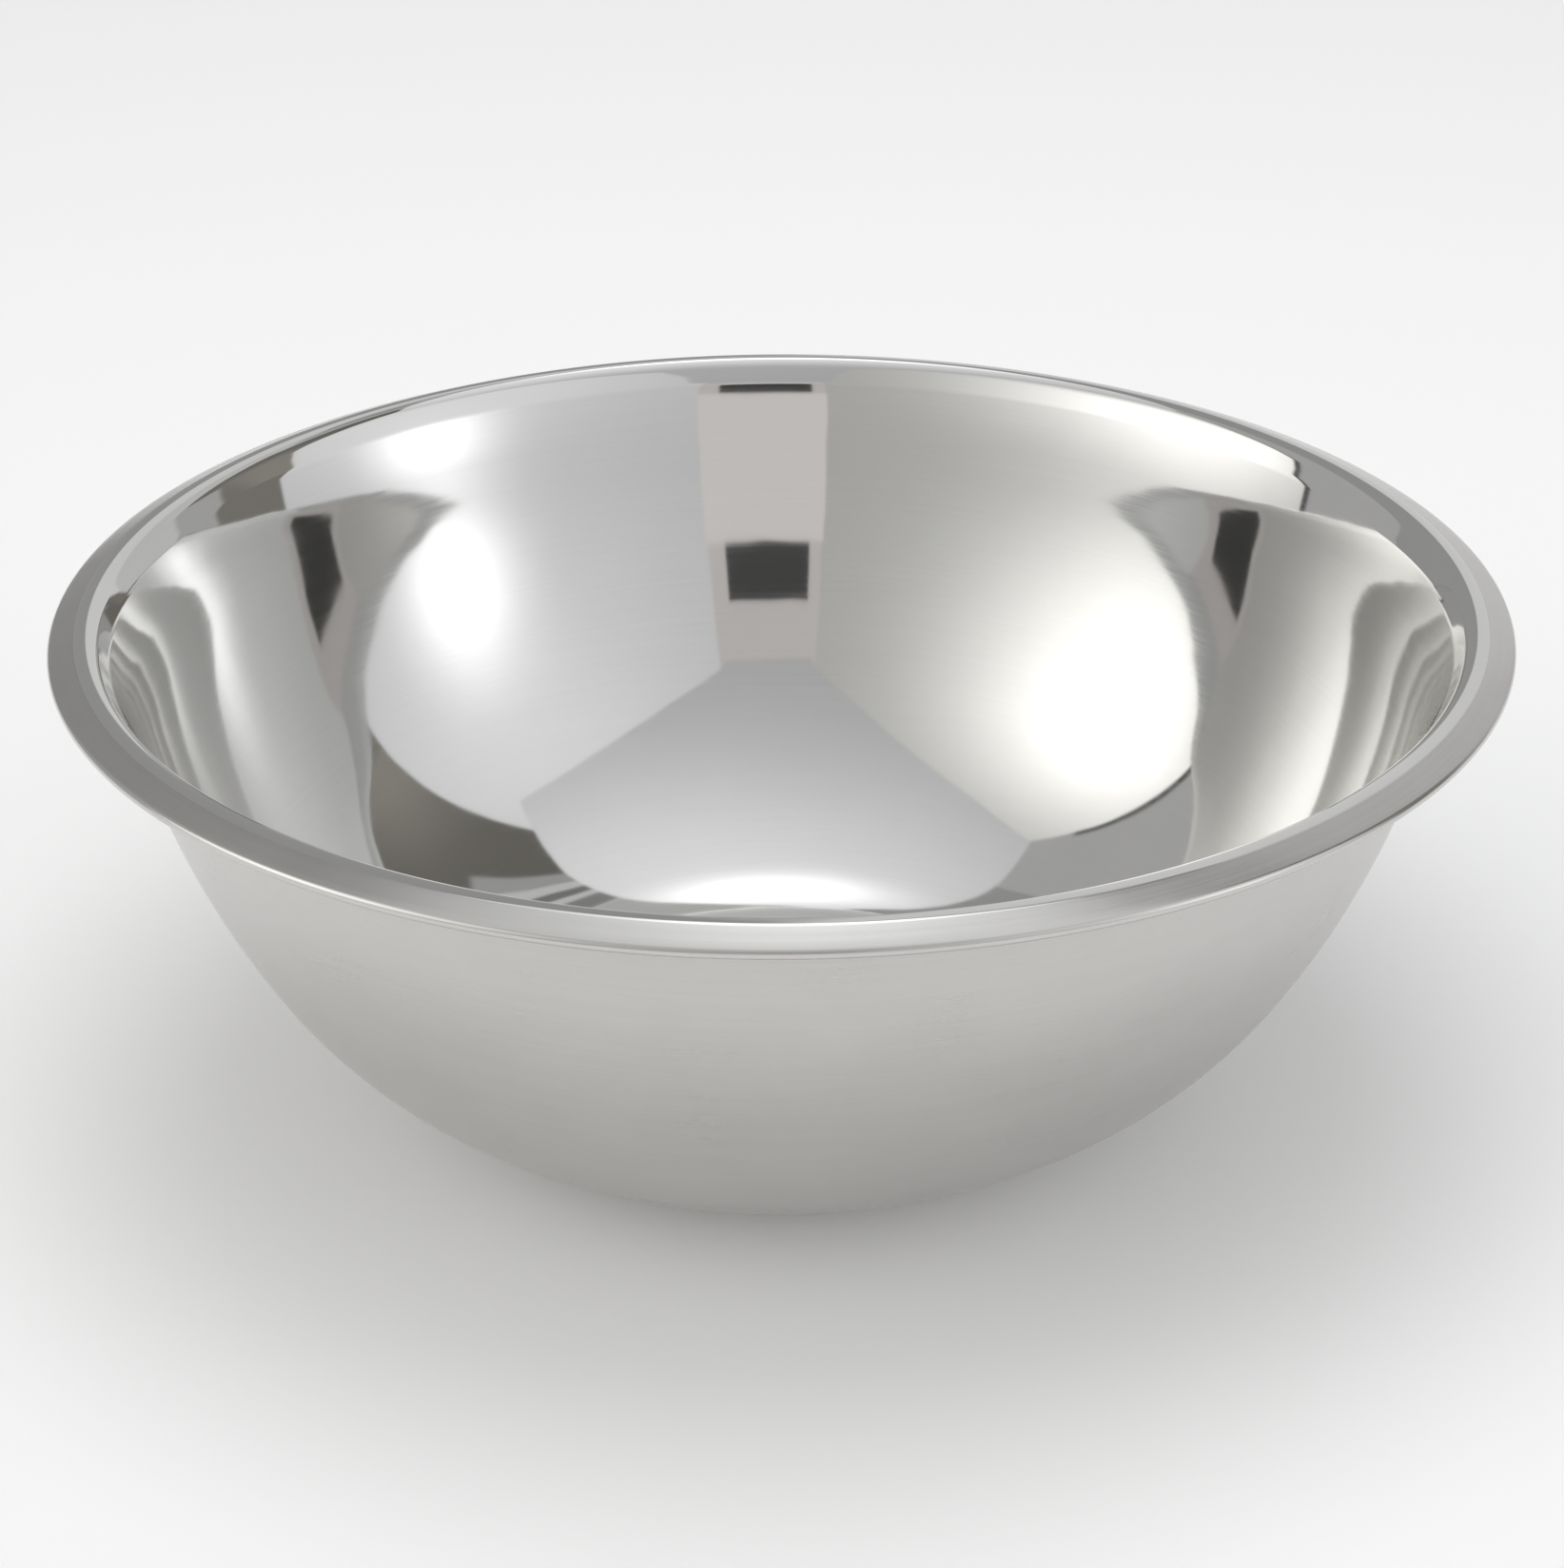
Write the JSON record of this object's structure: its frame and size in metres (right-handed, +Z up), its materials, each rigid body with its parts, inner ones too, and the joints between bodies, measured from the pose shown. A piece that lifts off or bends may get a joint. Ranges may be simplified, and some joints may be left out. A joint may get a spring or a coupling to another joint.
{
  "type": "mixing bowl",
  "caption": "Round stainless mixing bowl with a flat base, curved flaring wall and a sloping flange that ends in a rolled bead.",
  "frame": {"origin": "centre of the base's underside, on the surface the bowl stands on", "axes": "+Z up out of the bowl along its axis of revolution; X and Y are equal, as the bowl is round"},
  "size_m": [0.337, 0.337, 0.1225],
  "materials": {
    "stainless_sheet": "bright, nearly mirror inside; satin outside and on the flange, with fine circular spinning marks"
  },
  "bodies": {
    "root": {"bowl": "stainless_sheet"}
  },
  "joints": []
}
